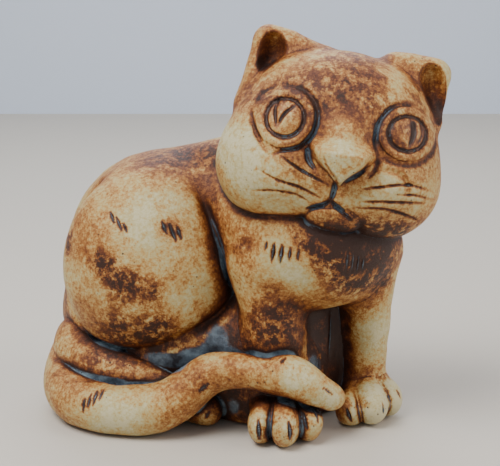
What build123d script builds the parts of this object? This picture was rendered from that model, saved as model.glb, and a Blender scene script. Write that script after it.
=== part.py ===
from build123d import *
import os
from math import sqrt

os.makedirs("parts", exist_ok=True)

# Driving dimensions, millimetres. +X runs from the rump to the chest, -Y is the cat's right flank
# and +Z is up. The origin is on the ground, under the middle of the figurine.
shell_wall = 5.0        # clay wall of the hollow body and of the hollow head
slab_thick = 5.0        # slab that closes the underside
vent_dia = 3.5          # steam hole through the slab
throat_dia = 12.0       # passage between the hollow body and the hollow head
ear_half_thick = 3.8    # half the thickness of an ear plate
ear_corner = 4.6        # corner radius of an ear
lid_ring = 7.9          # radius of an eyelid ring's middle line
lid_roll = 2.1          # radius of the roll of clay that an eyelid is made of
eye_radii = (6.4, 6.9, 3.4)  # half the width, height and bulge of an eyeball

# The head has a frame of its own: +X to the cat's left, -Y out of the face, +Z to the crown.
head_turn = 29.4        # turn of the face from the right flank towards the chest
head_lift = 9.4         # the face looks up
head_lean = 7.5         # the crown leans over to the cat's left
head_place = (
    Location((34.5, 13, 97))
    * Rotation(0, 0, head_turn)
    * Rotation(-head_lift, 0, 0)
    * Rotation(0, head_lean, 0)
)

# The skull's three lumps, in the head's frame: centre and radii
cranium_at, cranium_radii = (1.5, 1, 8), (32, 26, 23.5)
right_cheek_at, right_cheek_radii = (-15.5, -2, -8.5), (21, 24, 20)
left_cheek_at, left_cheek_radii = (17.5, -1, -9.5), (21, 23, 20)

# Eyes: across and up from the head's centre
right_eye_at = (-14.8, 6.4)
left_eye_at = (24.0, 6.8)

# Body lumps: centre, radii, and the turn and tilt of their axes
body_lumps = {
    "chest": ((29, 11.5, 57), (28.5, 25, 33), 42, 0),
    "belly": ((7.5, 14, 20), (26, 18, 30), 10, 0),
    "neck": ((20.5, 15, 84), (25, 22, 24), 20, 0),
    "trunk": ((-1.5, 14, 69), (21, 35, 28), 90, -12),
    "rump": ((-33.5, 4, 46), (35, 29, 38), 5, 0),
    "seat": ((-28.5, 5, 24), (38, 29, 28), -4, 3),
}


def lump(centre, radii, turn=0, tilt=0):
    # a ball of clay pressed to three radii, tilted about its X axis and turned about Z
    with BuildPart() as ball:
        Sphere(1)
        scale(by=radii)
    return ball.part.moved(Location(centre) * Rotation(0, 0, turn) * Rotation(tilt, 0, 0))


def head_lump(centre, radii):
    return lump(centre, radii).moved(head_place)


def take_out(*neighbours):
    # subtracts each neighbour from the piece that is being built
    for neighbour in neighbours:
        add(neighbour, mode=Mode.SUBTRACT)


def thinner(radii):
    return tuple(radius - shell_wall for radius in radii)


def roll_of_clay(points, start_radius, middle_radius, end_radius):
    # a tapering round roll along a smooth curve through the points, with a ball at each end
    with BuildPart() as roll:
        with BuildLine() as spine:
            curve = Spline(*points)
        for share, radius in ((0, start_radius), (0.5, middle_radius), (1, end_radius)):
            along = curve % share
            across = along.cross(Vector(0, 0, 1))
            with BuildSketch(Plane(origin=curve @ share, x_dir=across, z_dir=along)):
                Circle(radius)
        sweep(multisection=True)
        for share, radius in ((0, start_radius), (1, end_radius)):
            with Locations(curve @ share):
                Sphere(radius)
    return roll.part


def skull_plane(across, up):
    # the plane that touches the cranium in front of a place given across and up from the head's centre
    x = (across - cranium_at[0]) / cranium_radii[0]
    z = (up - cranium_at[2]) / cranium_radii[2]
    depth = sqrt(1 - x * x - z * z)
    at = (across, cranium_at[1] - cranium_radii[1] * depth, up)
    out = Vector(x / cranium_radii[0], -depth / cranium_radii[1], z / cranium_radii[2]).normalized()
    frame = Plane(origin=at, x_dir=out.cross(Vector(0, 0, -1)), z_dir=out)
    return Plane(head_place * frame.location)


# The outside and the inside of the two hollow forms
with BuildPart() as body_form:
    for centre, radii, turn, tilt in body_lumps.values():
        add(lump(centre, radii, turn, tilt))
    Box(300, 300, 100, align=(Align.CENTER, Align.CENTER, Align.MAX), mode=Mode.SUBTRACT)

with BuildPart() as body_hollow:
    for centre, radii, turn, tilt in body_lumps.values():
        add(lump(centre, thinner(radii), turn, tilt))
    with Locations((0, 0, slab_thick)):
        Box(300, 300, 100, align=(Align.CENTER, Align.CENTER, Align.MAX), mode=Mode.SUBTRACT)

with BuildPart() as head_form:
    add(head_lump(cranium_at, cranium_radii))
    add(head_lump(right_cheek_at, right_cheek_radii))
    add(head_lump(left_cheek_at, left_cheek_radii))

head_hollow = head_lump((1, 0, 2.5), (23, 20, 18))
ground = Box(300, 300, 100, align=(Align.CENTER, Align.CENTER, Align.MAX))

# Solid forms of the limbs, before their neighbours are taken out of them
haunch_forms = {
    "right": lump((-23.1, -7.5, 52), (32.5, 26, 36), turn=33),
    "left": lump((-24.5, 18, 42), (30, 22, 32), turn=4),
}
foreleg_forms = {
    "right": lump((21.1, -2, 33), (11.3, 11.3, 40), turn=25, tilt=-4),
    "left": lump((41.1, 27, 33), (11.3, 11.3, 40), turn=50, tilt=2),
}


def paw_form(palm_at, palm_radii, palm_turn, toes):
    with BuildPart() as paw:
        add(lump(palm_at, palm_radii, palm_turn))
        for centre, radii, turn in toes:
            add(lump(centre, radii, turn))
    return paw.part


front_paw_forms = {
    "right": paw_form((25.5, -6, 6), (10, 10, 8.5), 20, [
        ((27, -14.5, 6), (4.8, 8.5, 6.2), 15),
        ((33.5, -12.5, 6.2), (5.4, 9.5, 6.6), 32),
        ((37.5, -5.5, 6), (5, 8.5, 6), 48),
    ]),
    "left": paw_form((42.5, 26, 6), (9.5, 10.5, 9), 40, [
        ((44, 14.5, 5), (4.2, 7, 5), 28),
        ((49, 19, 6.8), (5.8, 9.5, 7), 38),
        ((50, 27.5, 7), (5.2, 8, 6.8), 60),
    ]),
}

hind_foot_forms = {
    "right": roll_of_clay(
        [(-48.5, -19, 20), (-32.5, -25, 17), (-16.5, -21, 13), (-4.5, -16, 8), (4.5, -14.5, 5.8)], 9, 8.6, 5.7
    ),
    "left": roll_of_clay([(-26.5, 31, 9), (-14.5, 33, 8), (-2.5, 34.5, 6.5), (6.5, 34, 5.8)], 7, 6.8, 5.6),
}
tail_form = roll_of_clay(
    [
        (-52.5, 15, 28), (-60.5, 4, 22), (-59.5, -12, 14), (-47.5, -27, 10),
        (-30.5, -34, 9.5), (-14.5, -30, 13),
        (-0.5, -23, 17.5), (12.5, -16.5, 19), (24.5, -12, 17.5), (34.5, -6.5, 14), (42.5, 0, 11.5),
    ],
    10.4, 8.9, 5,
)

# Face forms, in the head's frame
nose_form = head_lump((4.5, -20, -2), (8, 11, 9))
pad_forms = {
    "right": head_lump((-8, -15, -13), (14, 11, 11)),
    "left": head_lump((14, -14, -14), (13, 11, 11)),
}
chin_form = head_lump((3, -18.5, -21.5), (8.5, 6.5, 6))

# Hollow body, open below until the slab closes it
with BuildPart() as body_shell:
    add(body_form.part)
    take_out(body_hollow.part, ground.moved(Location((0, 0, slab_thick))), head_form.part)
body_shell.part.label = "body_shell"
export_step(body_shell.part, "parts/body_shell.step")

# Slab luted across the underside, with the steam hole that lets the hollow dry and fire
with BuildPart() as base_slab:
    add(body_form.part)
    with Locations((0, 0, slab_thick)):
        Box(300, 300, 200, align=(Align.CENTER, Align.CENTER, Align.MIN), mode=Mode.SUBTRACT)
    with Locations((-24.5, 7, 0)):
        Cylinder(vent_dia / 2, 4 * slab_thick, mode=Mode.SUBTRACT)
base_slab.part.label = "base_slab"
export_step(base_slab.part, "parts/base_slab.step")

# Hollow head, with a passage down to the hollow body
with BuildPart() as head_shell:
    add(head_form.part)
    take_out(head_hollow)
    with Locations(head_place * Location((-6, 0, -22))):
        Cylinder(throat_dia / 2, 26, mode=Mode.SUBTRACT)
head_shell.part.label = "head_shell"
export_step(head_shell.part, "parts/head_shell.step")

for side, form in haunch_forms.items():
    with BuildPart() as haunch:
        add(form)
        take_out(body_form.part, head_form.part)
    haunch.part.label = f"{side}_haunch"
    export_step(haunch.part, f"parts/{side}_haunch.step")

# Front paws, each a palm and its toes pressed from one piece, and the forelegs that stand on them
for side in ("right", "left"):
    with BuildPart() as front_paw:
        add(front_paw_forms[side])
        take_out(body_form.part, ground)
    front_paw.part.label = f"{side}_front_paw"
    export_step(front_paw.part, f"parts/{side}_front_paw.step")
    with BuildPart() as foreleg:
        add(foreleg_forms[side])
        take_out(body_form.part, haunch_forms["right"], front_paw_forms[side], ground)
    foreleg.part.label = f"{side}_foreleg"
    export_step(foreleg.part, f"parts/{side}_foreleg.step")

# Panel that closes the gap between the forelegs
with BuildPart() as chest_panel:
    add(lump((28.5, 15, 18), (12, 14, 34), turn=61))
    take_out(body_form.part, *foreleg_forms.values(), *front_paw_forms.values(), ground)
chest_panel.part.label = "chest_panel"
export_step(chest_panel.part, "parts/chest_panel.step")

for side, form in hind_foot_forms.items():
    with BuildPart() as hind_foot:
        add(form)
        take_out(body_form.part, haunch_forms[side], foreleg_forms[side], front_paw_forms["right"], ground)
    hind_foot.part.label = f"{side}_hind_foot"
    export_step(hind_foot.part, f"parts/{side}_hind_foot.step")

# Tail, laid round the rump and over the feet
with BuildPart() as tail:
    add(tail_form)
    take_out(body_form.part, haunch_forms["right"], hind_foot_forms["right"], foreleg_forms["right"])
    take_out(foreleg_forms["left"], *front_paw_forms.values(), chest_panel.part, ground)
tail.part.label = "tail"
export_step(tail.part, "parts/tail.step")

# Ears: plates with rounded corners, hollowed at the front, joined to the skull
ear_plane = Plane(head_place * Location((0, 3, 0)) * Rotation(90, 0, 0))
ear_corners = {
    "right": [(-7, 27), (-26.5, 10), (-22.5, 33)],
    "left": [(18, 29), (32, 13), (33, 29)],
}
ear_scoops = {
    "right": head_lump((-22, -5, 25), (6.5, 8, 11)),
    "left": head_lump((33, -5, 20), (6.5, 8, 11)),
}
for side, corners in ear_corners.items():
    with BuildPart() as ear:
        with BuildSketch(ear_plane):
            with BuildLine():
                Polyline(*corners, close=True)
            make_face()
            offset(amount=ear_corner, kind=Kind.ARC)
        extrude(amount=ear_half_thick, both=True)
        fillet(ear.edges(), radius=0.75 * ear_half_thick)
        take_out(ear_scoops[side], head_form.part)
    ear.part.label = f"{side}_ear"
    export_step(ear.part, f"parts/{side}_ear.step")

# Eyes: a domed ball and a ring for the lids, each resting on the skull
for side, (across, up) in (("right", right_eye_at), ("left", left_eye_at)):
    socket = skull_plane(across, up)
    eye_form = lump((0, 0, 0), eye_radii).moved(socket.location)
    with BuildPart() as eyeball:
        add(eye_form)
        take_out(head_form.part)
    eyeball.part.label = f"{side}_eyeball"
    export_step(eyeball.part, f"parts/{side}_eyeball.step")
    with BuildPart() as eyelid:
        with Locations(socket):
            Torus(lid_ring, lid_roll)
        take_out(head_form.part, eye_form)
    eyelid.part.label = f"{side}_eyelid"
    export_step(eyelid.part, f"parts/{side}_eyelid.step")

# Nose, muzzle pads and chin
with BuildPart() as nose:
    add(nose_form)
    take_out(head_form.part)
nose.part.label = "nose"
export_step(nose.part, "parts/nose.step")

with BuildPart() as right_muzzle_pad:
    add(pad_forms["right"])
    take_out(head_form.part, nose_form, body_form.part)
right_muzzle_pad.part.label = "right_muzzle_pad"
export_step(right_muzzle_pad.part, "parts/right_muzzle_pad.step")

with BuildPart() as left_muzzle_pad:
    add(pad_forms["left"])
    take_out(head_form.part, nose_form, pad_forms["right"], body_form.part)
left_muzzle_pad.part.label = "left_muzzle_pad"
export_step(left_muzzle_pad.part, "parts/left_muzzle_pad.step")

with BuildPart() as chin:
    add(chin_form)
    take_out(head_form.part, *pad_forms.values(), body_form.part)
chin.part.label = "chin"
export_step(chin.part, "parts/chin.step")
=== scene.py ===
import math
import time
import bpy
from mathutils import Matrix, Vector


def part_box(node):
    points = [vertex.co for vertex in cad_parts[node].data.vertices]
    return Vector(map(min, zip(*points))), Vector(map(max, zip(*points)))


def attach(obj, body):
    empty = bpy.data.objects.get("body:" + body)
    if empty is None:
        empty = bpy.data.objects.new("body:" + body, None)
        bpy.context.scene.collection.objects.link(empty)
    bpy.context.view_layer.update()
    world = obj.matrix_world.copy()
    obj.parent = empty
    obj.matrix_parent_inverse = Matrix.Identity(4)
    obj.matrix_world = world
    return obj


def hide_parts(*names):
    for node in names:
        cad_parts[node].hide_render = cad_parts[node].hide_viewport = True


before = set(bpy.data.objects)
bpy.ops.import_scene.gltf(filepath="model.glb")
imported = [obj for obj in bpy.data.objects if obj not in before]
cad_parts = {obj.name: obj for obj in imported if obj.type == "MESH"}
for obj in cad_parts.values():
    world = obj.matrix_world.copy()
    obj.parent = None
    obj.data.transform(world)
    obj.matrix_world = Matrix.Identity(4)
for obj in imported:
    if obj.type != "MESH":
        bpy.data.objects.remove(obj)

from concurrent.futures import ThreadPoolExecutor

import bpy
import numpy as np
import openvdb
from mathutils import Vector

startTime = time.perf_counter()
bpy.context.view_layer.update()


def stage(text):
    print(f"[cat] {time.perf_counter() - startTime:6.1f} s  {text}")


# The clay is sculpted as a field: a distance in millimetres that is negative inside.
# +X runs from rump to chest, -Y is the cat's right flank, +Z is up.
def axesFrom(heading, pitch=0.0, roll=0.0):
    # rows are side, front and up; heading turns the front from +X towards -Y
    h, p, r = (math.radians(x) for x in (heading, pitch, roll))
    front = np.array([math.cos(h) * math.cos(p), -math.sin(h) * math.cos(p), math.sin(p)])
    side = np.array([math.sin(h), math.cos(h), 0.0])
    up = np.cross(front, side)
    rows = [math.cos(r) * side - math.sin(r) * up, front, math.sin(r) * side + math.cos(r) * up]
    return np.array(rows, np.float32)


def ball(p, centre, radii, axes=None):
    q = p - np.asarray(centre, np.float32)
    q = q if axes is None else q @ axes.T
    r = np.asarray(radii, np.float32)
    k0 = np.sqrt(((q / r) ** 2).sum(-1))
    k1 = np.sqrt(((q / (r * r)) ** 2).sum(-1)) + 1e-6
    return k0 * (k0 - 1) / k1


def blendMin(a, b, k):
    h = np.maximum(k - np.abs(a - b), 0) / k
    return np.minimum(a, b) - h * h * k * 0.25


def blendMax(a, b, k):
    return -blendMin(-a, -b, k)


def seamed(a, b, k, depth, width=1.3):
    # two lumps luted together, with a tooled line pressed along their joint
    return blendMin(a, b, k) + depth * np.exp(-((a - b) / width) ** 2)


def cone(p, a, b, ra, rb):
    a, b = np.asarray(a, np.float32), np.asarray(b, np.float32)
    ab = b - a
    t = np.clip(((p - a) @ ab) / float(ab @ ab), 0, 1)
    return np.sqrt(((p - a - t[..., None] * ab) ** 2).sum(-1)) - (ra + t * (rb - ra))


def smoothPath(points, steps):
    # a Catmull-Rom curve through rows of any width
    pts = np.asarray(points, float)
    pts = np.vstack([2 * pts[0] - pts[1], pts, 2 * pts[-1] - pts[-2]])
    out = []
    for i in range(1, len(pts) - 2):
        p0, p1, p2, p3 = pts[i - 1 : i + 3]
        for t in np.linspace(0, 1, steps, endpoint=False):
            out.append(0.5 * (2 * p1 + (p2 - p0) * t + (2 * p0 - 5 * p1 + 4 * p2 - p3) * t * t
                              + (3 * p1 - p0 - 3 * p2 + p3) * t ** 3))
    return np.array(out + [pts[-2]])


def tube(p, points, k=2.0):
    path = smoothPath(points, 4)
    d = cone(p, path[0][:3], path[1][:3], path[0][3], path[1][3])
    for a, b in zip(path[1:-1], path[2:]):
        d = blendMin(d, cone(p, a[:3], b[:3], a[3], b[3]), k)
    return d


def plate(p, a, b, c, thick):
    # a flat triangle with a round edge
    a, b, c = (np.asarray(x, np.float32) for x in (a, b, c))
    ba, cb, ac = b - a, c - b, a - c
    pa, pb, pc = p - a, p - b, p - c
    n = np.cross(ba, ac)
    sides = np.sign(pa @ np.cross(ba, n)) + np.sign(pb @ np.cross(cb, n)) + np.sign(pc @ np.cross(ac, n))

    def edge(q, e):
        t = np.clip((q @ e) / float(e @ e), 0, 1)
        return ((q - t[..., None] * e) ** 2).sum(-1)

    rim = np.minimum(np.minimum(edge(pa, ba), edge(pb, cb)), edge(pc, ac))
    flat = (pa @ n) ** 2 / float(n @ n)
    return np.sqrt(np.where(sides < 2, rim, flat)) - thick


def smoothStep(a, b, x):
    t = np.clip((x - a) / (b - a), 0, 1)
    return t * t * (3 - 2 * t)


def nearLine(u, v, path):
    # distance in a plane to a smooth curve through a few points, and how far along it is
    best, share = np.full(u.shape, 99, np.float32), np.zeros(u.shape, np.float32)
    pts = smoothPath(path, 4)
    for i in range(len(pts) - 1):
        (x0, y0), (x1, y1) = pts[i], pts[i + 1]
        ex, ey = x1 - x0, y1 - y0
        t = np.clip(((u - x0) * ex + (v - y0) * ey) / (ex * ex + ey * ey), 0, 1)
        d = np.hypot(u - x0 - t * ex, v - y0 - t * ey)
        near = d < best
        best = np.where(near, d, best)
        share = np.where(near, (i + t) / (len(pts) - 1), share)
    return best, share


# Body: rump, trunk, seat and belly pressed into one hollow form
body = {
    "rump": ((-31, 4, 48), (34.5, 29, 41.5), None),
    "trunk": ((-1.5, 13, 69), (20, 35, 27.5), axesFrom(0, 10)),
    "seat": ((-28.5, 5, 26), (41, 30, 28), None),
    "belly": ((8, 10, 16), (25, 23, 27), None),
    "chest": ((29.5, 12, 65), (29, 25, 24.5), axesFrom(48)),
    "neck": ((13.5, 15, 74), (27.5, 15, 94), 22, 20),
    "leftHaunch": ((-24, 17.5, 42), (30, 22, 32), axesFrom(86)),
    "rightHaunch": ((-22.8, -7.5, 51.5), (32.5, 26, 35.5), axesFrom(57)),
}


def backField(p):
    d = ball(p, *body["rump"])
    d = blendMin(d, ball(p, *body["trunk"]), 14)
    d = blendMin(d, ball(p, *body["seat"]), 10)
    return blendMin(d, ball(p, *body["belly"]), 8)


def chestField(p):
    d = ball(p, *body["chest"])
    return blendMin(d, cone(p, *body["neck"]), 12)


# Legs and feet
legs = {
    "right": {"top": (20, -1, 56), "knee": (22.8, -1.8, 34), "ankle": (24, -2.8, 12),
              "radii": (13.0, 9.6, 8.8)},
    "left": {"top": (42, 26.5, 58), "knee": (42.5, 28, 33), "ankle": (42, 28.5, 12),
             "radii": (12.5, 7.4, 6.8)},
    "panel": ((27, 16, 18), (14, 5.5, 36), axesFrom(29)),
}
paws = {
    "right": {
        "heel": (23.5, -4, 10),
        "toes": [((27, -14.5, 6.6), (4.9, 9.5, 7.4), 75), ((33.5, -12.5, 6.8), (5.6, 10.5, 7.8), 58),
                 ((37.5, -5.5, 6.2), (5.2, 9, 7.0), 42)],
    },
    "left": {
        "heel": (42.5, 28, 8),
        "toes": [((44, 14.5, 5.0), (4.2, 7.0, 5.0), 62), ((49, 19, 6.8), (5.8, 9.5, 7.0), 52),
                 ((50, 27.5, 7.0), (5.2, 8.0, 6.8), 30)],
    },
}
hindFeet = {
    "right": {
        "roll": [(-52.5, -7, 25, 9), (-48.5, -19, 20, 9.5), (-32.5, -25, 17, 9), (-16.5, -21, 14, 8),
                 (-4.5, -16, 8, 6), (3.5, -14, 6, 5)],
        "toes": [((3.5, -14.5, 5.6), (5.0, 6.0, 5.2), 75)],
    },
    "left": {
        "roll": [(-26.5, 31, 9, 8), (-14.5, 33, 8, 7.5), (-2.5, 34, 6.8, 6.6), (4.5, 34, 6, 5.4)],
        "toes": [((8, 31, 5.0), (3.4, 5.2, 4.8), 2), ((8.5, 35.5, 5.2), (3.6, 5.4, 5.0), -12)],
    },
}
tailPath = [
    (-52.5, 15, 28, 10), (-58.5, 5, 21, 10.5), (-55.5, -11.5, 14, 10), (-48.5, -25, 10, 9.3),
    (-39, -34, 8.6, 8.5), (-26, -37.5, 8, 8), (-13, -33.5, 8.2, 8), (-2, -28, 11.5, 7.6),
    (8, -20, 21, 6.3), (18, -16.5, 23.3, 5.3), (27.5, -13, 22.4, 5.2), (33, -11, 22.8, 6.2),
    (38.5, -8.5, 20.6, 5.6), (42.5, -4.5, 17, 4.6), (45.3, 0.5, 13.8, 3.7),
]


def legField(p, side):
    leg = legs[side]
    d = cone(p, leg["top"], leg["knee"], leg["radii"][0], leg["radii"][1])
    return blendMin(d, cone(p, leg["knee"], leg["ankle"], leg["radii"][1], leg["radii"][2]), 4)


def toesField(p, toes, heel=None):
    d = None
    for at, radii, heading in toes:
        one = ball(p, at, radii, axesFrom(heading))
        if heel is not None:
            one = blendMin(one, cone(p, heel, at, 7.5, 5.0), 3)
        d = one if d is None else seamed(d, one, 1.2, 0.5, 0.9)
    return d


def hindFootField(p, side):
    foot = hindFeet[side]
    return blendMin(tube(p, foot["roll"]), toesField(p, foot["toes"]), 2)


# Head: its own frame has s across to the cat's left, t out of the face and w up to the crown
head = {
    "at": (34.5, 13, 97),
    "axes": axesFrom(60.6, 9.4, 7.5),
    "rightCheek": ((-15.5, 2, -8.5), (21, 24, 20)),
    "leftCheek": ((17.5, 1, -9.5), (21, 23, 20)),
    "cranium": ((1.5, -1, 8), (32, 26, 23.5)),
    "jaw": ((3.5, 4, -14), (24, 19, 15.5)),
    "bridge": ((4.5, 20, 0), (7.5, 10, 9)),
}
ears = {
    "right": {"inner": (-7, -3, 27), "outer": (-28.5, 0, 10), "tip": (-24.8, -3, 31.5),
              "brow": (-17.5, -3, 31),
              "scoop": ((-22.5, 5, 25), (5.2, 9, 10.5), 4)},
    "left": {"inner": (18, -4, 28), "outer": (31.5, 0, 13), "tip": (31.5, -3, 28), "brow": (24, -4, 29),
             "scoop": ((31.5, 5, 21), (5.4, 8.5, 11.5), 14)},
}
# lines pressed into the face: path across and up, depth, width; an eye's are taken from its centre
eyes = {
    "right": {
        "at": (-14.8, 6.4), "wide": 0.98, "tall": 1.0,
        "lines": [
            ([(-11.4, 1.5), (-9.9, -3.5), (-6.8, -8.2), (-2.7, -12.8)], 1.0, 0.7),
            ([(-3.4, -12.6), (1, -10.2), (5.5, -8.6), (9.2, -4.5), (10.2, 1), (8.6, 6.3), (4, 9.8),
              (-3, 10.6)], 1.1, 0.7),
            ([(-10.5, 3), (-8.5, 7), (-4, 10.4)], 0.4, 0.6),
            ([(-2.6, 6.0), (-3.4, 1.7), (-2, -3.6)], 0.9, 0.5),
            ([(3.2, 4.8), (-0.3, 1.0), (-2, -3.4)], 0.9, 0.5),
        ],
    },
    "left": {
        "at": (24.0, 6.8), "wide": 1.0, "tall": 0.9,
        "lines": [
            ([(2, 9.6), (-5.4, 8.0), (-9.4, 2), (-9.8, -4.5), (-8.5, -8)], 1.1, 0.75),
            ([(-8, -8), (-2, -10), (5, -9), (9.6, -4), (9.8, 2)], 0.6, 0.7),
            ([(0.4, 5.2), (1.9, 1.0), (1.2, -4.2)], 1.1, 0.8),
            ([(3.6, 4.2), (4.8, 0.8), (3.4, -3.4)], 0.6, 0.4),
        ],
    },
}
face = {
    "noseAt": (4.6, -4.0),
    "chinAt": (4.4, -24.2),
    "nose": [
        ([(-5.6, 0.4), (-4.7, -1.9), (-2.6, -4.4), (0.2, -6.6)], 0.8, 0.45),
        ([(8.8, 1.2), (6.4, -3.4), (3.4, -5.6), (1.4, -7.2)], 0.7, 0.45),
        ([(-10.9, 4.0), (-10.4, -1.0), (-7.6, -4.4)], 1.0, 0.7),
        ([(11.2, 3.0), (11.0, -1.5), (8.2, -5.0)], 0.6, 0.8),
    ],
    "mouth": [
        ([(3.8, -9.8), (3.7, -13.6), (3.0, -18.4)], 1.6, 0.7),
        ([(3.8, -16.6), (0.8, -19.0), (-4.2, -21.0)], 1.5, 0.65),
        ([(2.2, -16.6), (6.2, -19.6), (10.8, -22.6)], 1.5, 0.65),
    ],
    "whiskers": [
        ([(-15.0, -5.0), (-8.0, -8.8), (1.4, -12.4)], 0.8, 0.36),
        ([(-21.5, -10.5), (-14.0, -13.2), (-7.0, -14.4), (0.2, -17.0)], 0.8, 0.36),
        ([(-23.5, -18.0), (-15.0, -16.6), (-8.0, -16.8), (-2.5, -19.0)], 0.75, 0.34),
        ([(11.5, -12.5), (18.0, -10.8), (27.0, -9.0), (35.0, -10.2)], 0.85, 0.38),
        ([(12.0, -16.2), (22.0, -15.0), (34.5, -14.0)], 0.85, 0.38),
        ([(10.5, -18.5), (20.0, -17.5), (28.0, -18.8), (32.5, -20.2)], 0.9, 0.42),
        ([(23.0, -12.6), (29.0, -12.0), (35.5, -12.8)], 0.6, 0.32),
    ],
    "creases": [
        ([(17.0, -5.5), (22.5, -6.0), (26.0, -9.0), (27.0, -13.0)], 1.0, 1.1),
        ([(-9.0, -2.6), (-5.8, -2.6), (-3.5, -4.5)], 0.7, 0.8),
    ],
}


def headFrame(p):
    return (p - np.asarray(head["at"], np.float32)) @ head["axes"].T


def headPoint(s, t, w):
    return np.asarray(head["at"]) + np.array([s, t, w]) @ head["axes"]


def skullField(q):
    d = ball(q, *head["rightCheek"])
    d = blendMin(d, ball(q, *head["leftCheek"]), 10)
    d = blendMin(d, ball(q, *head["cranium"]), 10)
    d = blendMin(d, ball(q, *head["jaw"]), 5)
    return blendMin(d, ball(q, *head["bridge"]), 7)


def dome(x):
    return np.sqrt(np.maximum(1 - x * x, 0))


def eyeRho(q, side):
    eye = eyes[side]
    return np.hypot((q[:, 0] - eye["at"][0]) / eye["wide"], (q[:, 2] - eye["at"][1]) / eye["tall"])


def pressLines(u, v, lines):
    # how deep a set of pressed lines is at each place, and how much glaze lies in them
    depth, ink = np.zeros(u.shape, np.float32), np.zeros(u.shape, np.float32)
    for path, deep, width in lines:
        low, high = np.min(path, 0) - 3 * width, np.max(path, 0) + 3 * width
        near = (u > low[0]) & (u < high[0]) & (v > low[1]) & (v < high[1])
        if not near.any():
            continue
        away, share = nearLine(u[near], v[near], path)
        ends = np.sin(math.pi * np.clip(share, 0.02, 0.98)) ** 0.55
        pressed = ends * np.exp(-(away / (width * (0.45 + 0.55 * ends))) ** 2)
        depth[near] = np.maximum(depth[near], deep * pressed)
        ink[near] = np.maximum(ink[near], pressed)
    return depth, ink


def faceRelief(q):
    # how far the face stands out from the skull, and the glaze in its lines, by place across and up
    s, w = q[:, 0], q[:, 2]
    lift, ink = np.zeros(s.shape, np.float32), np.zeros(s.shape, np.float32)

    def press(u, v, lines, glazing=1.0):
        depth, glazed = pressLines(u, v, lines)
        return lift - depth, np.maximum(ink, glazing * glazed)

    for side, eye in eyes.items():
        rho = eyeRho(q, side)
        lift += 1.15 * dome((rho - 7.8) / 1.9)                  # the lids, a ring of clay
        lift += (rho < 6.3) * (2.1 * dome(rho / 6.6) - 0.2)     # the ball
        between = np.exp(-((rho - 6.1) / 0.45) ** 2)
        lift -= 0.7 * between
        lift, ink = press(s - eye["at"][0], w - eye["at"][1], eye["lines"], 0.6)
        ink = np.maximum(ink, 0.45 * between)
    ns, nw = s - face["noseAt"][0], w - face["noseAt"][1]
    # the nose is a block, wide above and narrow at the lip, with a raised middle
    wide = 0.9 + 9.4 * smoothStep(-8.5, 2.5, nw)
    block = (1 - smoothStep(0.8, 1.12, np.abs(ns) / wide)) * (1 - smoothStep(1.5, 7.0, nw))
    block = block * smoothStep(-8.8, -6.8, nw)
    lift += 3.3 * block
    wide = 0.7 + 7.0 * smoothStep(-8.0, 0.5, nw)
    raised = (1 - smoothStep(0.75, 1.1, np.abs(ns - 0.8) / wide)) * (1 - smoothStep(0.5, 4.5, nw))
    lift += 1.1 * raised * block
    lift, ink = press(ns, nw, face["nose"], 0.6)
    # whisker pads, lower lip and the lines of the mouth
    pads = np.exp(-((s + 6.5) / 11) ** 2 - ((w + 14.0) / 7.5) ** 2)
    pads += np.exp(-((s - 16.0) / 9.5) ** 2 - ((w + 13.8) / 7.5) ** 2)
    lift += 2.4 * pads
    chin = np.hypot((s - face["chinAt"][0]) / 8.8, (w - face["chinAt"][1]) / 4.6)
    under = np.exp(-((chin - 1.08) / 0.14) ** 2) * smoothStep(-21.5, -25.0, w)
    lift += 2.0 * dome(np.minimum(chin, 1)) ** 0.7 - 0.8 * under
    lift, ink = press(s, w, face["mouth"])
    lift, ink = press(s, w, face["whiskers"], 0.75)
    lift = press(s, w, face["creases"])[0]
    ink = np.maximum(ink, 0.8 * under)
    front = smoothStep(0, 7, q[:, 1])
    return lift * front, ink * front


def headField(p):
    q = headFrame(p)
    d = skullField(q)
    near = np.abs(d) < 9
    d[near] -= faceRelief(q[near])[0]
    return d


def earField(p, side):
    ear = ears[side]
    inner, outer, tip, brow = (headPoint(*ear[k]) for k in ("inner", "outer", "tip", "brow"))
    d = blendMin(plate(p, inner, outer, tip, 4.6), plate(p, inner, tip, brow, 4.6), 3)
    centre, radii, lean = ear["scoop"]
    lean = math.radians(lean)
    side, front, up = head["axes"]
    across = math.cos(lean) * side + math.sin(lean) * up
    axes = np.array([across, front, math.cos(lean) * up - math.sin(lean) * side])
    return blendMax(d, -ball(p, headPoint(*centre), radii, axes.astype(np.float32)), 1.0)


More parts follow.
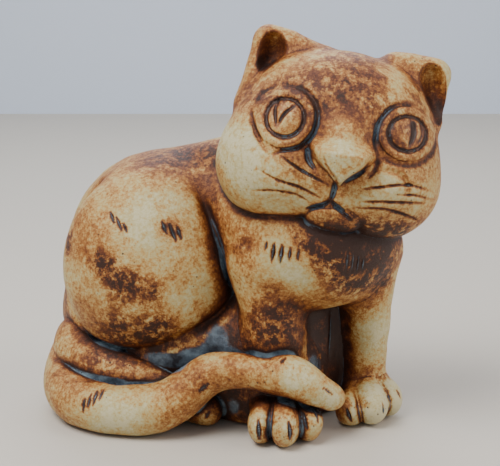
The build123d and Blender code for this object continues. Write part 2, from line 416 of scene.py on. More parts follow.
# Rows of short cuts made with a loop tool: fur strokes and claws
cuts = {
    "chest": [
        {"first": (27.5, -14.7, 68.5), "last": (38.2, -12, 66.8), "lean": (-0.15, 0, -1),
         "lengths": (2.6, 6, 6, 4.3, 3.6), "widths": (0.5, 0.9, 0.9, 0.5, 0.45)},
        {"first": (50.5, -1.8, 66.2), "last": (53.8, 3.4, 62.6), "lean": (-0.05, 0, -1),
         "lengths": (8, 7, 5.5, 4), "widths": (0.55, 0.55, 0.5, 0.45)},
    ],
    "rightHaunch": [
        {"first": (-25.4, -28.7, 74.6), "last": (-19.4, -29.4, 71.7), "lean": (0.6, -0.3, -0.7),
         "lengths": (4.3, 5, 3.5), "widths": (0.6, 0.6, 0.5)},
        {"first": (-8.2, -22.9, 72.2), "last": (-4, -20.2, 70.5), "lean": (0.5, -0.1, -0.8),
         "lengths": (4.2, 6, 4.2), "widths": (0.7, 0.8, 0.7)},
    ],
    "leftHaunch": [
        {"first": (-24, 40, 52), "last": (-14, 40, 50), "lean": (0.5, 0, -0.8),
         "lengths": (4, 5.5, 5, 4), "widths": (0.6, 0.8, 0.7, 0.6)},
    ],
    "tail": [
        {"first": (-25.6, -44.2, 13.4), "last": (-21, -39.8, 16.2), "lean": (0.1, -0.6, -0.8),
         "lengths": (5, 4.6, 4.6, 4.4), "widths": (0.6, 0.6, 0.6, 0.5)},
        {"first": (9.8, -27.7, 18), "last": (9.8, -27.7, 18), "lean": (0.6, 0.5, 0.6), "lengths": (3.8,),
         "widths": (0.7,)},
        {"first": (33.7, -15.2, 28.7), "last": (33.7, -15.2, 28.7), "lean": (0.1, 0.9, 0.4),
         "lengths": (2.4,), "widths": (0.6,)},
        {"first": (46.3, -8.7, 20.5), "last": (46.3, -8.7, 20.5), "lean": (0.4, 0.65, -0.65),
         "lengths": (4.6,), "widths": (0.5,)},
    ],
    "rightPaw": [
        {"first": (29.6, -22.6, 10.6), "last": (39.8, -19.6, 11), "lean": (0.08, 0, -1), "lengths": (7, 6.6),
         "widths": (0.9, 0.9)},
        {"first": (39.6, -10.6, 11), "last": (42.4, -7.6, 12), "lean": (0.5, -0.4, -0.8),
         "lengths": (5.5, 4.4), "widths": (0.6, 0.7)},
    ],
    "leftPaw": [
        {"first": (45.6, 8.3, 7.4), "last": (45.6, 8.3, 7.4), "lean": (0.4, 0.1, -0.9), "lengths": (4.6,),
         "widths": (0.8,)},
        {"first": (56, 14.9, 9.4), "last": (56.3, 25.2, 11), "lean": (0.35, 0.1, -0.9),
         "lengths": (4.6, 3.2), "widths": (0.8, 0.6)},
    ],
    "rightHindFoot": [
        {"first": (6.6, -19.8, 5.0), "last": (6.6, -19.8, 5.0), "lean": (0.4, 0.3, 0.8), "lengths": (2.4,),
         "widths": (0.6,)},
    ],
    "panel": [
        {"first": (33, 19, 37), "last": (33, 19, 37), "lean": (0.0, -0.1, -1), "lengths": (17,),
         "widths": (0.8,)},
    ],
}


def ontoSurface(field, p, rounds=4):
    p = np.asarray(p, np.float32).reshape(1, 3)
    around = 0.25 * np.vstack([np.eye(3), -np.eye(3)]).astype(np.float32)
    for turn in range(rounds):
        f = field(p + around)
        slope = (f[:3] - f[3:]) / 0.5
        p = p - field(p)[0] * slope / float(slope @ slope + 1e-6)
    return p[0]


def strokesOf(group, field):
    strokes = []
    for row in cuts.get(group, []):
        first, last, lean = (np.array(row[k], float) for k in ("first", "last", "lean"))
        count = len(row["lengths"])
        for i, (length, width) in enumerate(zip(row["lengths"], row["widths"])):
            top = first + (last - first) * (i / max(count - 1, 1))
            along = lean / np.linalg.norm(lean) * length
            strokes.append(([ontoSurface(field, top + share * along) for share in (0, 0.5, 1)], 0.85 * width))
    return strokes


def strokeField(p, path, width):
    # pointed where the tool goes in and where it leaves
    top, middle, foot = path
    return np.minimum(cone(p, top, middle, 0.35 * width, width), cone(p, middle, foot, width, 0.3 * width))


def nearStroke(p, path):
    return np.abs(p - path[1]).max(-1) < np.abs(path[0] - path[2]).max() / 2 + 3


def carved(group, field):
    strokes = strokesOf(group, field)
    allStrokes[group] = strokes

    def cut(p):
        d = field(p)
        for path, width in strokes:
            near = nearStroke(p, path)
            if near.any():
                d[near] = blendMax(d[near], -strokeField(p[near], path, width), 0.4)
        return d

    return cut


allStrokes = {}

# Each group of clay, and the CAD nodes whose box says where it can be
groups = {
    "back": (backField, ["body_shell"]),
    "chest": (chestField, ["body_shell"]),
    "rightHaunch": (lambda p: ball(p, *body["rightHaunch"]), ["right_haunch"]),
    "leftHaunch": (lambda p: ball(p, *body["leftHaunch"]), ["left_haunch"]),
    "rightForeleg": (lambda p: legField(p, "right"), ["right_foreleg"]),
    "leftForeleg": (lambda p: legField(p, "left"), ["left_foreleg"]),
    "panel": (lambda p: ball(p, *legs["panel"]), ["chest_panel"]),
    "rightPaw": (lambda p: toesField(p, paws["right"]["toes"], paws["right"]["heel"]), ["right_front_paw"]),
    "leftPaw": (lambda p: toesField(p, paws["left"]["toes"], paws["left"]["heel"]), ["left_front_paw"]),
    "rightHindFoot": (lambda p: hindFootField(p, "right"), ["right_hind_foot"]),
    "leftHindFoot": (lambda p: hindFootField(p, "left"), ["left_hind_foot"]),
    "tail": (lambda p: tube(p, tailPath), ["tail"]),
    "head": (headField, ["head_shell", "nose", "chin"]),
    "rightEar": (lambda p: earField(p, "right"), ["right_ear"]),
    "leftEar": (lambda p: earField(p, "left"), ["left_ear"]),
}


def nodeBox(nodes):
    corners = [np.array([list(c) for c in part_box(n)], np.float32) * 1000 for n in nodes]
    return np.min([c[0] for c in corners], 0), np.max([c[1] for c in corners], 0)


bareFields = {name: field for name, (field, nodes) in groups.items()}
groups = {name: (carved(name, field), nodes) for name, (field, nodes) in groups.items()}
reach = {name: nodeBox(nodes) for name, (field, nodes) in groups.items()}
reach = {name: (low - 9, high + 9) for name, (low, high) in reach.items()}
farAway = 12.0      # a group further off than this doesn't touch the surface here


def groupDistances(p):
    out = {}
    for name, (field, nodes) in groups.items():
        low, high = reach[name]
        off = np.maximum(low - p, p - high).max(-1)
        d = np.maximum(off, farAway).astype(np.float32)
        near = off < farAway
        if near.any():
            d[near] = field(p[near])
        out[name] = d
    return out


# How the groups are joined: how softly one runs into the next, and how deep the line between them is
joints = {
    "pressed": [("panel", 3), ("chest", 5), ("rightForeleg", 6), ("leftForeleg", 6), ("rightPaw", 2),
                ("leftPaw", 4)],
    "tooled": [("rightHindFoot", 2, 0.8), ("leftHindFoot", 2, 0.6), ("tail", 2, 0.9)],
    "haunch": {"soft": 7, "tight": 2, "depth": 2.1, "width": 1.6, "fades": (72, 85)},   # fades with height
    "ear": 3.5,
    "head": (1.5, 0.8),
}
restsOn = 0.5           # the ground cuts the clay here


def clayField(f, p):
    # the whole cat, from the distances of its groups
    d = seamed(f["back"], f["leftHaunch"], 4, 0.5, 1.6)
    for group, k in joints["pressed"]:
        d = blendMin(d, f[group], k)
    haunch = joints["haunch"]
    low = 1 - smoothStep(*haunch["fades"], p[:, 2])
    line = haunch["depth"] * low * np.exp(-((d - f["rightHaunch"]) / haunch["width"]) ** 2)
    d = blendMin(d, f["rightHaunch"], haunch["soft"] - (haunch["soft"] - haunch["tight"]) * low) + line
    for group, k, depth in joints["tooled"]:
        d = seamed(d, f[group], k, depth)
    h = blendMin(f["head"], f["rightEar"], joints["ear"])
    h = blendMin(h, f["leftEar"], joints["ear"])
    d = seamed(d, h, *joints["head"])
    # the clay is a little uneven, as fingers leave it
    x, y, z = p.T
    d = d + 0.16 * np.sin(x / 2.9 + 1.7 * np.sin(y / 5.1)) * np.sin(z / 3.3 + 1.5 * np.sin(x / 6.3))
    d = d + 0.22 * np.sin(y / 6.1 + np.sin(z / 7.7)) * np.sin((x + z) / 8.3)
    return blendMax(d, restsOn - z, 1.2)


# Which piece a place on the clay belongs to: negative inside the piece's share
def footprints(p):
    q = headFrame(p)
    s, t, w = q.T
    behind = 6 - t
    rho = {side: eyeRho(q, side) for side in eyes}
    out = {f"{side}_eyeball": np.maximum(rho[side] - 6.35, behind) for side in eyes}
    for side in eyes:
        out[f"{side}_eyelid"] = np.maximum(np.maximum(rho[side] - 9.8, 6.35 - rho[side]), behind)
    ns, nw = s - face["noseAt"][0], w - face["noseAt"][1]
    nose = np.hypot(ns / 1.1, (nw + 1.5)) - 9.0
    chin = 5.2 * (np.hypot((s - face["chinAt"][0]) / 9.2, (w - face["chinAt"][1]) / 5.2) - 1)
    out["nose"] = np.maximum(nose, behind)
    out["chin"] = np.maximum(np.maximum(chin, -nose), behind)
    rightPad = 11 * (np.hypot((s + 9) / 15.5, (w + 14.5) / 11) - 1)
    leftPad = 11 * (np.hypot((s - 16) / 13, (w + 14) / 11) - 1)
    middle = s - 3.2
    blocked = np.maximum(-nose, -chin)
    out["right_muzzle_pad"] = np.maximum(np.maximum(rightPad, middle), np.maximum(blocked, behind))
    out["left_muzzle_pad"] = np.maximum(np.maximum(leftPad, -middle), np.maximum(blocked, behind))
    return out


pieces = {
    "body_back": {"group": "back", "stands": ["body_shell"], "box": ["body_shell"], "parts": 5,
                  "slot": "body_glaze"},
    "body_chest": {"group": "chest", "stands": ["body_shell"], "box": ["body_shell"], "parts": 7,
                   "slot": "body_glaze"},
    "right_haunch": {"group": "rightHaunch", "parts": 7, "slot": "body_glaze"},
    "left_haunch": {"group": "leftHaunch", "parts": 5, "slot": "body_glaze"},
    "right_foreleg": {"group": "rightForeleg", "parts": 6, "slot": "body_glaze"},
    "left_foreleg": {"group": "leftForeleg", "parts": 6, "slot": "body_glaze"},
    "chest_panel": {"group": "panel", "parts": 6, "slot": "dark_glaze"},
    "right_front_paw": {"group": "rightPaw", "parts": 8, "slot": "pale_glaze"},
    "left_front_paw": {"group": "leftPaw", "parts": 8, "slot": "pale_glaze"},
    "right_hind_foot": {"group": "rightHindFoot", "parts": 6, "slot": "body_glaze"},
    "left_hind_foot": {"group": "leftHindFoot", "parts": 6, "slot": "body_glaze"},
    "tail": {"group": "tail", "parts": 6, "slot": "body_glaze"},
    "head_shell": {"group": "head", "parts": 7, "slot": "head_glaze"},
    "right_ear": {"group": "rightEar", "parts": 8, "slot": "head_glaze"},
    "left_ear": {"group": "leftEar", "parts": 8, "slot": "head_glaze"},
    "right_eyeball": {"group": "head", "footprint": True, "parts": 11, "slot": "eye_glaze"},
    "left_eyeball": {"group": "head", "footprint": True, "parts": 11, "slot": "eye_glaze"},
    "right_eyelid": {"group": "head", "footprint": True, "parts": 10, "slot": "head_glaze"},
    "left_eyelid": {"group": "head", "footprint": True, "parts": 10, "slot": "head_glaze"},
    "nose": {"group": "head", "footprint": True, "parts": 9, "slot": "pale_glaze"},
    "right_muzzle_pad": {"group": "head", "footprint": True, "parts": 9, "slot": "pale_glaze"},
    "left_muzzle_pad": {"group": "head", "footprint": True, "parts": 9, "slot": "pale_glaze"},
    "chin": {"group": "head", "footprint": True, "parts": 9, "slot": "pale_glaze"},
}
blockSize = 4.0         # millimetres; a block near the surface is cut into parts each way
overlap = 0.6           # how far a piece runs on under its neighbours
gridMargin = 14


def pieceField(name, p):
    # the clay, and this piece's share of it
    piece = pieces[name]
    f = groupDistances(p)
    clay = clayField(f, p)
    own = f[piece["group"]]
    others = np.min([d for g, d in f.items() if g != piece["group"]], axis=0)
    share = own - others
    if piece["group"] == "head":
        prints = footprints(p)
        if piece.get("footprint"):
            share = np.maximum(share, prints[name])
            q = headFrame(p)
            share = np.maximum(share, -4.5 - skullField(q))     # a shell, not a core
        else:
            share = np.maximum(share, -np.min(list(prints.values()), axis=0))
    return clay, share


def pieceGrid(name):
    piece = pieces[name]
    low, high = nodeBox(piece.get("box", [name]))
    low, high = low - gridMargin, high + gridMargin
    low[2] = max(low[2], -2.0)
    n = piece["parts"]
    cell = blockSize / n
    blocks = np.ceil((high - low) / blockSize).astype(int)
    index = np.stack(np.meshgrid(*[np.arange(b) for b in blocks], indexing="ij"), -1).reshape(-1, 3)
    centres = (low + (index + 0.5) * blockSize - 0.5 * cell).astype(np.float32)
    clay, share = pieceField(name, centres)
    share = share - overlap
    half = 0.87 * blockSize
    relief = 6.0 if piece["group"] == "head" else 2.0       # how far pressed lines move the surface
    reachClay, reachShare = 1.2 * half + relief, 2 * half + 0.5
    below = (clay < reachClay) & (share < reachShare)
    above = (clay > -reachClay) | (share > -reachShare)
    active = below & above
    values = np.repeat(np.repeat(np.repeat(np.maximum(clay, share).reshape(blocks), n, 0), n, 1), n, 2)
    values = values.astype(np.float32)
    step = np.stack(np.meshgrid(*[np.arange(n)] * 3, indexing="ij"), -1).reshape(-1, 3)
    chosen = index[active]
    for start in range(0, len(chosen), 400):
        some = chosen[start : start + 400]
        cells = (some[:, None, :] * n + step[None]).reshape(-1, 3)
        p = (low + cells * cell).astype(np.float32)
        clay, share = pieceField(name, p)
        values[cells[:, 0], cells[:, 1], cells[:, 2]] = blendMax(clay, share - overlap, 0.5)
    return values, low, cell


def occlusion(p, normal, distance):
    q = (p + normal * distance).astype(np.float32)
    return np.clip(1 - clayField(groupDistances(q), q) / distance, 0, 1.5)


def inChunks(job, *arrays, size=120000):
    return np.concatenate([job(*[a[i : i + size] for a in arrays]) for i in range(0, len(arrays[0]), size)])


def buildPiece(name, made):
    values, low, cell = made
    values[:, :, 0] = np.maximum(values[:, :, 0], 0.5)
    grid = openvdb.FloatGrid(background=10.0)
    grid.copyFromArray(values)
    points, quads = grid.convertToQuads(0.0)
    points = points * cell + low
    mesh = bpy.data.meshes.new(name)
    mesh.from_pydata((points * 0.001).tolist(), [], quads.tolist())
    mesh.shade_smooth()
    mesh.update()
    piece = bpy.data.objects.new(name, mesh)
    bpy.context.scene.collection.objects.link(piece)
    return piece, points.astype(np.float32)


names = list(pieces)
with ThreadPoolExecutor(4) as pool:
    grids = dict(zip(names, pool.map(pieceGrid, names)))
stage("fields worked out")

built = {}
for name in names:
    piece, points = buildPiece(name, grids.pop(name))
    built[name] = (piece, points)
    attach(piece, "root")
    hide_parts(*pieces[name].get("stands", [name]))
    print(name, len(piece.data.polygons))
stage("pieces meshed")

# What the glaze knows about the clay under it, kept at every point of every piece
iron = {
    # on the face: across, up, size, amount; more is browner and less is creamier
    "front": [
        (4, 20, 16, 0.35), (-6, 12, 8, 0.2), (20, 24, 5, -0.3), (2, 6, 6, -0.35), (-14, 24, 5, -0.1),
        (-22, 26, 8, 0.1), (34, 24, 9, 0.5), (-29, -4, 10, -0.5), (-20, -15, 11, -0.3),
        (-4, -16, 9, -0.3), (17, -13, 10, -0.3), (4, -4, 6, -0.4), (5, -24, 7, -0.5), (33, 0, 7, -0.1),
        (10, -34, 9, 0.4), (24, 7, 9, 0.22), (-15, 6, 6, -0.12), (-15, 15, 6, 0.25),
        (-24, 12, 5, 0.25), (32, -12, 6, -0.2), (-26, 8, 6, 0.1),
    ],
    # elsewhere: place, size, amount
    "around": [
        ((55, 6, 64), 13, 1.8), ((46, -6, 71), 10, 1.2), ((34, -14, 65), 8, -0.3),
        ((38, -11, 58), 7, -0.3), ((19, -14, 66), 4, 0.35), ((28, -10, 39), 9, 0.8),
        ((48, 22, 29), 8, -0.4), ((53, 20, 50), 4, 0.7), ((-14, -27, 72), 13, -0.3),
        ((-8, -16, 79), 8, -0.2), ((4, -12, 65), 7, 0.1), ((-44, -30, 62), 4, 0.6),
        ((-24, -35, 58), 5, 0.8), ((-16, -34, 52), 6, 0.8), ((-8, -30, 50), 4, 0.6),
        ((-8, -27, 36), 5, 0.7), ((-20, -31, 35), 8, 0.5), ((-13, -25, 29), 9, 0.5),
        ((4, -13, 34), 6, 0.45), ((-6, -22, 70), 3.5, 0.6), ((-58, -16, 39), 6, 0.25),
        ((-20, -3, 90), 9, 0.4), ((-6, 2, 92), 8, 0.45), ((-45, 4, 86), 8, 0.1),
        ((-4, -19, 24), 7, 0.4), ((12, -12, 8), 6, 0.9), ((14, -9, 31), 5, 0.5),
        ((-30, -31, 24), 9, 0.35), ((6, -20, 6), 4, -0.35), ((-45, -36, 15), 8, 0.1),
        ((-60, -8, 24), 9, 0.45), ((-19, -45, 7), 7, -0.2), ((-9, -41, 10), 7, -0.35),
        ((10, -27, 22), 5, 0.15), ((24, -20, 26), 4, -0.15), ((40, -14, 25), 7, -0.5),
        ((47, -6, 17), 5, -0.45), ((30, -22, 8), 6, -0.5), ((40, -18, 8), 6, -0.5),
        ((44, -8, 9), 5, -0.4), ((47, 8, 6), 4, -0.25), ((56, 14, 8), 9, -0.7),
        ((52, 26, 10), 9, -0.6), ((33, 13, 28), 10, 1.2), ((-30, 44, 50), 14, -0.25),
        ((-14, 42, 44), 8, 0.5), ((-34, 38, 30), 9, 0.5), ((-66, 10, 52), 10, 0.3),
    ],
}

# where the blue glaze ran together, and how far it spread
pools = [
    ((6, -12, 30), (5, 5, 8)), ((2, -16, 26), (9, 5, 3)), ((-8, -24, 24), (11, 5, 2.5)),
    ((14, -13, 27), (4, 4, 2.5)), ((33, 8, 20), (6, 6, 6)), ((13, -14, 6), (4, 5, 7)),
    ((-34, -32, 17), (9, 4, 2)), ((-22, -33, 16), (8, 4, 2)), ((38, -2, 16), (4, 5, 4)),
    ((9, -13, 46), (3, 4, 9)), ((-4, -22, 22), (9, 5, 3)),
]


def ironAt(p):
    total = np.zeros(len(p), np.float32)
    q = headFrame(p)
    facing = smoothStep(-6, 6, q[:, 1]) * smoothStep(8, 2, groupDistances(p)["head"])
    for s, w, size, amount in iron["front"]:
        total += facing * amount * np.exp(-((q[:, 0] - s) ** 2 + (q[:, 2] - w) ** 2) / size ** 2)
    for place, size, amount in iron["around"]:
        away = p - np.asarray(place, np.float32)
        total += amount * np.exp(-(away * away).sum(-1) / size ** 2)
    return total


def inkAt(p):
    # glaze that stays in the pressed lines and in the cuts
    q = headFrame(p)
    ink = np.zeros(len(p), np.float32)
    onHead = (np.abs(skullField(q)) < 9) & (q[:, 1] > 0)
    ink[onHead] = faceRelief(q[onHead])[1]
    for strokes in allStrokes.values():
        for path, width in strokes:
            near = nearStroke(p, path)
            if near.any():
                glazed = 1 - smoothStep(-0.1, 0.45, strokeField(p[near], path, width))
                ink[near] = np.maximum(ink[near], glazed)
    return ink


def poolAt(p):
    total = np.zeros(len(p), np.float32)
    for place, size in pools:
        away = (p - np.asarray(place, np.float32)) / np.asarray(size, np.float32)
        total += np.exp(-(away * away).sum(-1))
    return np.minimum(total, 1)


def storeGlazeCues(piece, points):
    mesh = piece.data
    normals = np.empty(len(points) * 3, np.float32)
    mesh.vertex_normals.foreach_get("vector", normals)
    normals = normals.reshape(-1, 3)
    cues = {
        "crease": inChunks(lambda p, n: occlusion(p, n, 2.0), points, normals),
        "hollow": inChunks(lambda p, n: occlusion(p, n, 7.0), points, normals),
        "iron": inChunks(ironAt, points),
        "ink": inChunks(inkAt, points),
        "pool": inChunks(poolAt, points),
    }
    for name, values in cues.items():
        mesh.attributes.new(name, "FLOAT", "POINT").data.foreach_set("value", values.astype(np.float32))


with ThreadPoolExecutor(4) as pool:
    list(pool.map(lambda pair: storeGlazeCues(*pair), built.values()))
stage("glaze cues stored")


def addNode(tree, kind, inputs, **settings):
    made = tree.nodes.new(kind)
    for key, value in settings.items():
        setattr(made, key, value)
    for key, value in inputs.items():
        if isinstance(value, bpy.types.NodeSocket):
            tree.links.new(value, made.inputs[key])
        else:
            made.inputs[key].default_value = value
    return made


# blue-grey of the glaze that ran together
slateShades = [(0.36, (0.020, 0.022, 0.030)), (0.50, (0.075, 0.10, 0.13)), (0.66, (0.20, 0.27, 0.32))]


# The glaze is one wash over the clay: its value runs from cream, where it is thin, to bare iron
def glaze(name, look):
    material = bpy.data.materials.new(name)
    material.use_nodes = True
    tree = material.node_tree
    shader = tree.nodes["Principled BSDF"]
    coords = addNode(tree, "ShaderNodeTexCoord", {}).outputs["Object"]

    def cue(key):
        return addNode(tree, "ShaderNodeAttribute", {}, attribute_name=key).outputs["Fac"]

    def noise(scale, detail=4, roughness=0.6):
        settings = {"Vector": coords, "Scale": scale, "Detail": detail, "Roughness": roughness}
        return addNode(tree, "ShaderNodeTexNoise", settings).outputs["Fac"]

    def madd(a, b, c):
        return addNode(tree, "ShaderNodeMath", {0: a, 1: b, 2: c}, operation="MULTIPLY_ADD").outputs[0]

    def ranged(value, low, high, outLow=0.0, outHigh=1.0):
        inputs = {"Value": value, "From Min": low, "From Max": high, "To Min": outLow, "To Max": outHigh}
        return addNode(tree, "ShaderNodeMapRange", inputs, interpolation_type="SMOOTHSTEP").outputs[0]

    def ramp(value, stops):
        made = addNode(tree, "ShaderNodeValToRGB", {"Fac": value})
        elements = made.color_ramp.elements
        while len(elements) < len(stops):
            elements.new(0.5)
        for element, (at, colour) in zip(elements, stops):
            element.position, element.color = at, (*colour, 1)
        return made.outputs["Color"]

    def mix(factor, a, b):
        return addNode(tree, "ShaderNodeMix", {0: factor, 6: a, 7: b}, data_type="RGBA").outputs[2]

    crease, hollow, ironCue, ink = cue("crease"), cue("hollow"), cue("iron"), cue("ink")
    mottle, grain, broad = noise(80, 6, 0.68), noise(800, 6, 0.8), noise(26, 3, 0.5)
    blotch, fine = noise(260, 8, 0.78), noise(2200, 4, 0.75)
    wash = madd(mottle, look["mottle"], look["base"] - 0.5 * look["mottle"] - 0.87)
    for value, weight in ((grain, 1.3), (broad, 0.5)):
        wash = madd(value, weight, wash)
    patches = madd(ranged(blotch, 0.42, 0.57), 1.0, 0.26)
    rusty = addNode(tree, "ShaderNodeMath", {0: ironCue, 1: patches}, operation="MULTIPLY").outputs[0]
    wash = madd(rusty, look["iron"], wash)
    for value, weight in ((blotch, 0.45), (hollow, 0.42), (crease, 0.75), (ink, 0.62)):
        wash = madd(value, weight, wash)
    colour = ramp(wash, look["ramp"])
    lines = madd(crease, 1.0, madd(ink, 0.22, -0.12))
    caught = addNode(tree, "ShaderNodeMath", {0: lines, 1: cue("pool")}, operation="MAXIMUM")
    pooled = ranged(madd(grain, 0.45, caught.outputs[0]), 0.70, 1.02)
    slate = ramp(noise(130, 4), slateShades)
    colour = mix(pooled, colour, slate)
    cells = {"Vector": coords, "Scale": 420.0, "Randomness": 1.0}
    specks = addNode(tree, "ShaderNodeTexVoronoi", cells).outputs["Distance"]
    speckled = ranged(madd(noise(60, 4), -0.55, specks), -0.25, -0.17, 1.0, 0.0)
    colour = mix(speckled, colour, (0.05, 0.018, 0.009, 1))
    tree.links.new(colour, shader.inputs["Base Color"])
    rough = madd(grain, 0.25, ranged(pooled, 0, 1, look["rough"], 0.08))
    tree.links.new(rough, shader.inputs["Roughness"])
    height = madd(fine, 0.6, madd(grain, 1.0, madd(speckled, -0.5, madd(blotch, 0.8, 0.0))))
    bump = addNode(tree, "ShaderNodeBump", {"Height": height, "Strength": look["bump"], "Distance": 0.0007})
    tree.links.new(bump.outputs["Normal"], shader.inputs["Normal"])
    shader.inputs["Specular IOR Level"].default_value = 0.36
    shader.inputs["Coat Weight"].default_value = look["coat"]
    shader.inputs["Coat Roughness"].default_value = 0.3
    return material


# cream over clay, going through amber to the brown of bare iron wash
warm = [(0.0, (0.56, 0.51, 0.31)), (0.17, (0.49, 0.43, 0.21)), (0.33, (0.50, 0.31, 0.095)),
        (0.48, (0.34, 0.125, 0.022)), (0.68, (0.13, 0.030, 0.005)), (0.95, (0.030, 0.008, 0.003))]
shared = {"base": 0.10, "mottle": 0.75, "iron": 0.85, "ramp": warm, "bump": 0.5}
looks = {
    "body_glaze": {**shared, "rough": 0.38, "coat": 0.05},
    "head_glaze": {**shared, "rough": 0.38, "coat": 0.04},
    "pale_glaze": {**shared, "rough": 0.36, "coat": 0.06},
    "dark_glaze": {**shared, "base": 0.26, "rough": 0.30, "bump": 0.4, "coat": 0.15},
    "eye_glaze": {**shared, "rough": 0.30, "bump": 0.4, "coat": 0.15},
}
materials = {name: glaze(name, look) for name, look in looks.items()}
for name, (piece, points) in built.items():
    piece.data.materials.append(materials[pieces[name]["slot"]])
stage("glazed")

# Glaze that ran together at the bottom of every cut: a thread swept along each stroke by a node tree
threads = {
    "name": "glaze_in_cuts",
    "sunk": 0.5,            # how deep a thread lies, in radii of its cut
    "thickness": 0.42,      # a thread's radius, in radii of its cut
    "steps": 10, "sides": 8,
    "blobSize": 1.55,       # a bead on a thread, in radii of the thread
    "blobShare": 0.3,       # how many of a thread's places have a bead
    "seed": 7,
}


def threadPaths():
    # points along the bottoms of the cuts, the edges between them, and the thread's radius at each
    points, edges, radii = [], [], []
    for group, strokes in allStrokes.items():
        for path, width in strokes:
            for i, at in enumerate(path):
                around = 0.3 * np.vstack([np.eye(3), -np.eye(3)]).astype(np.float32)
                bare = bareFields[group](at + around)
                slope = bare[:3] - bare[3:]
                out = slope / max(float(np.linalg.norm(slope)), 1e-6)
                if i:
                    edges.append((len(points) - 1, len(points)))
                points.append(at - out * threads["sunk"] * width)
                radii.append(threads["thickness"] * width)
    return np.array(points), edges, radii


def threadTree(material):
    tree = bpy.data.node_groups.new("glazeThreads", "GeometryNodeTree")
    face = tree.interface
    face.new_socket("Geometry", in_out="INPUT", socket_type="NodeSocketGeometry")
    for key, kind in (("Steps", "Int"), ("Sides", "Int"), ("Blob size", "Float"), ("Blob share", "Float"),
                      ("Seed", "Int")):
        face.new_socket(key, in_out="INPUT", socket_type="NodeSocket" + kind)
    face.new_socket("Geometry", in_out="OUTPUT", socket_type="NodeSocketGeometry")
    given = tree.nodes.new("NodeGroupInput").outputs
    named = addNode(tree, "GeometryNodeInputNamedAttribute", {"Name": "radius"}, data_type="FLOAT")
    radius = named.outputs["Attribute"]
    curve = addNode(tree, "GeometryNodeMeshToCurve", {"Mesh": given["Geometry"]}).outputs["Curve"]
    smooth = addNode(tree, "GeometryNodeCurveSplineType", {"Curve": curve}, spline_type="CATMULL_ROM")
    spaced = {"Curve": smooth.outputs["Curve"], "Count": given["Steps"]}
    even = addNode(tree, "GeometryNodeResampleCurve", spaced).outputs["Curve"]
    along = addNode(tree, "GeometryNodeSplineParameter", {}).outputs["Factor"]
    swell = addNode(tree, "ShaderNodeMath", {0: along, 1: math.pi}, operation="MULTIPLY").outputs[0]
    swell = addNode(tree, "ShaderNodeMath", {0: swell}, operation="SINE").outputs[0]
    swell = addNode(tree, "ShaderNodeMath", {0: swell, 1: 0.75, 2: 0.25}, operation="MULTIPLY_ADD").outputs[0]
    size = addNode(tree, "ShaderNodeMath", {0: radius, 1: swell}, operation="MULTIPLY").outputs[0]
    profile = {"Resolution": given["Sides"], "Radius": 1.0}
    ring = addNode(tree, "GeometryNodeCurvePrimitiveCircle", profile).outputs["Curve"]
    sweep = {"Curve": even, "Profile Curve": ring, "Fill Caps": True, "Scale": size}
    swept = addNode(tree, "GeometryNodeCurveToMesh", sweep).outputs["Mesh"]
    # a blob of glaze sits at some places along every thread
    blob = addNode(tree, "GeometryNodeMeshIcoSphere", {"Radius": 1.0, "Subdivisions": 2}).outputs["Mesh"]
    chance = {"Probability": given["Blob share"], "Seed": given["Seed"]}
    some = addNode(tree, "FunctionNodeRandomValue", chance, data_type="BOOLEAN").outputs[3]
    swollen = addNode(tree, "ShaderNodeMath", {0: size, 1: given["Blob size"]},
                      operation="MULTIPLY").outputs[0]
    placed = {"Points": even, "Selection": some, "Instance": blob, "Scale": swollen}
    blobs = addNode(tree, "GeometryNodeInstanceOnPoints", placed).outputs["Instances"]
    joined = tree.nodes.new("GeometryNodeJoinGeometry")
    tree.links.new(swept, joined.inputs[0])
    tree.links.new(blobs, joined.inputs[0])
    real = addNode(tree, "GeometryNodeRealizeInstances", {"Geometry": joined.outputs[0]}).outputs["Geometry"]
    rounded = addNode(tree, "GeometryNodeSetShadeSmooth", {"Geometry": real}).outputs["Geometry"]
    coated = addNode(tree, "GeometryNodeSetMaterial", {"Geometry": rounded, "Material": material})
    addNode(tree, "NodeGroupOutput", {"Geometry": coated.outputs["Geometry"]})
    return tree


def sweepThreads(material):
    points, edges, radii = threadPaths()
    lines = bpy.data.meshes.new("threadLines")
    lines.from_pydata((points * 0.001).tolist(), edges, [])
    sizes = lines.attributes.new("radius", "FLOAT", "POINT").data
    sizes.foreach_set("value", np.array(radii, np.float32) * 0.001)
    carrier = bpy.data.objects.new("threadLines", lines)
    bpy.context.scene.collection.objects.link(carrier)
    tree = threadTree(material)
    values = {"Steps": threads["steps"], "Sides": threads["sides"], "Blob size": threads["blobSize"],
              "Blob share": threads["blobShare"], "Seed": threads["seed"]}
    modifier = carrier.modifiers.new("threads", "NODES")
    modifier.node_group = tree
    for socket in tree.interface.items_tree:
        if socket.in_out == "INPUT" and socket.name in values:
            modifier[socket.identifier] = values[socket.name]
    evaluated = carrier.evaluated_get(bpy.context.evaluated_depsgraph_get())
    mesh = bpy.data.meshes.new_from_object(evaluated)
    bpy.data.objects.remove(carrier)
    mesh.name = threads["name"]
    made = bpy.data.objects.new(threads["name"], mesh)
    bpy.context.scene.collection.objects.link(made)
    print(threads["name"], len(edges) // 2, "threads", len(mesh.polygons), "faces")
    return made


# the glossy glaze of the threads, and the unglazed clay of the slab under the cat
plainLooks = {
    "pooled_glaze": {
        "noise": {"Scale": 450.0, "Detail": 5.0},
        "shades": [(0.35, (0.018, 0.014, 0.016)), (0.68, (0.09, 0.12, 0.15))],
        "bump": 0.3, "relief": 0.0003, "rough": 0.12,
    },
    "bare_clay": {
        "noise": {"Scale": 900.0, "Detail": 6.0, "Roughness": 0.8},
        "shades": [(0.38, (0.34, 0.20, 0.11)), (0.60, (0.62, 0.45, 0.30))],
        "bump": 0.5, "relief": 0.0005, "rough": 0.85,
    },
}


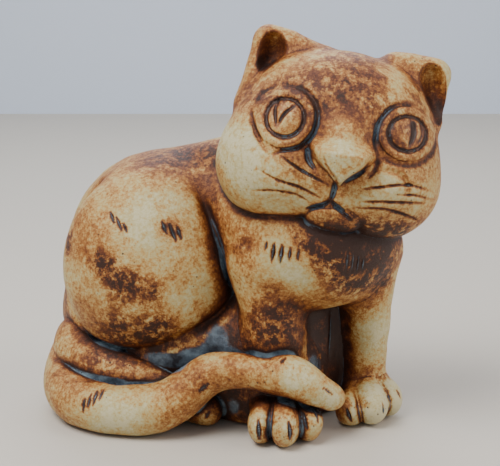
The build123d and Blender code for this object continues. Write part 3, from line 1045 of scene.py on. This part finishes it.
def plainFinish(name):
    look = plainLooks[name]
    material = bpy.data.materials.new(name)
    material.use_nodes = True
    tree = material.node_tree
    shader = tree.nodes["Principled BSDF"]
    coords = addNode(tree, "ShaderNodeTexCoord", {}).outputs["Object"]
    grit = addNode(tree, "ShaderNodeTexNoise", {"Vector": coords, **look["noise"]}).outputs["Fac"]
    shades = addNode(tree, "ShaderNodeValToRGB", {"Fac": grit})
    for element, (at, colour) in zip(shades.color_ramp.elements, look["shades"]):
        element.position, element.color = at, (*colour, 1)
    tree.links.new(shades.outputs["Color"], shader.inputs["Base Color"])
    raised = {"Height": grit, "Strength": look["bump"], "Distance": look["relief"]}
    tree.links.new(addNode(tree, "ShaderNodeBump", raised).outputs["Normal"], shader.inputs["Normal"])
    shader.inputs["Roughness"].default_value = look["rough"]
    return material


glazeInCuts = sweepThreads(plainFinish("pooled_glaze"))
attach(glazeInCuts, "root")
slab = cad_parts["base_slab"]
if not slab.material_slots:
    slab.data.materials.append(None)
clay = plainFinish("bare_clay")
for place in slab.material_slots:
    place.link = "OBJECT"
    place.material = clay
stage("threads swept")

# Camera, lights and floor
view = {"azimuth": 33.0, "elevation": 13.5, "target": (0.0085, 0.005, 0.065), "distance": 0.430, "lens": 90}


def outward(azimuth, elevation):
    a, e = math.radians(azimuth), math.radians(elevation)
    return Vector((math.sin(a) * math.cos(e), -math.cos(a) * math.cos(e), math.sin(e)))


def addCamera():
    data = bpy.data.cameras.new("camera")
    data.lens = view["lens"]
    data.clip_start = 0.01
    camera = bpy.data.objects.new("camera", data)
    bpy.context.scene.collection.objects.link(camera)
    back = outward(view["azimuth"], view["elevation"])
    camera.location = Vector(view["target"]) + back * view["distance"]
    camera.rotation_mode = "QUATERNION"
    camera.rotation_quaternion = back.to_track_quat("Z", "Y")
    bpy.context.scene.camera = camera


lights = {
    "key": {"azimuth": -15, "elevation": 58, "power": 6.4, "size": 0.40, "colour": (1.0, 0.98, 0.95)},
    "fill": {"azimuth": 112, "elevation": 26, "power": 3.0, "size": 0.5, "colour": (1.0, 0.93, 0.86)},
    "back": {"azimuth": 215, "elevation": 45, "power": 2.5, "size": 0.5, "colour": (0.9, 0.95, 1.0)},
}


def addLights():
    for name, light in lights.items():
        data = bpy.data.lights.new(name, "AREA")
        data.energy, data.size, data.color = light["power"], light["size"], light["colour"]
        lamp = bpy.data.objects.new(name, data)
        bpy.context.scene.collection.objects.link(lamp)
        back = outward(light["azimuth"], light["elevation"])
        lamp.location = Vector((0, 0, 0.06)) + back * 0.7
        lamp.rotation_mode = "QUATERNION"
        lamp.rotation_quaternion = back.to_track_quat("Z", "Y")
    world = bpy.data.worlds.new("studio")
    bpy.context.scene.world = world
    world.use_nodes = True
    world.node_tree.nodes["Background"].inputs["Color"].default_value = (0.86, 0.87, 0.90, 1)
    world.node_tree.nodes["Background"].inputs["Strength"].default_value = 0.50


studio = {
    "half": 3.0, "behind": 0.75,
    "floor": (0.56, 0.52, 0.46, 1), "wall": (0.64, 0.72, 0.86, 1), "rough": 0.7,
}


def addSheet(name, corners, colour):
    mesh = bpy.data.meshes.new(name)
    mesh.from_pydata([tuple(c) for c in corners], [], [(0, 1, 2, 3)])
    sheet = bpy.data.objects.new(name, mesh)
    bpy.context.scene.collection.objects.link(sheet)
    material = bpy.data.materials.new(name + "_paper")
    material.use_nodes = True
    shader = material.node_tree.nodes["Principled BSDF"]
    shader.inputs["Base Color"].default_value = colour
    shader.inputs["Roughness"].default_value = studio["rough"]
    mesh.materials.append(material)


def addFloor():
    half = studio["half"]
    ground = [(-half, -half, 0), (half, -half, 0), (half, half, 0), (-half, half, 0)]
    addSheet("floor", ground, studio["floor"])
    away = -outward(view["azimuth"], 0)
    across = Vector((-away.y, away.x, 0))
    middle, up = away * studio["behind"], Vector((0, 0, half))
    left, right = middle + across * half, middle - across * half
    addSheet("wall", [left, right, right + up, left + up], studio["wall"])


addCamera()
addLights()
addFloor()
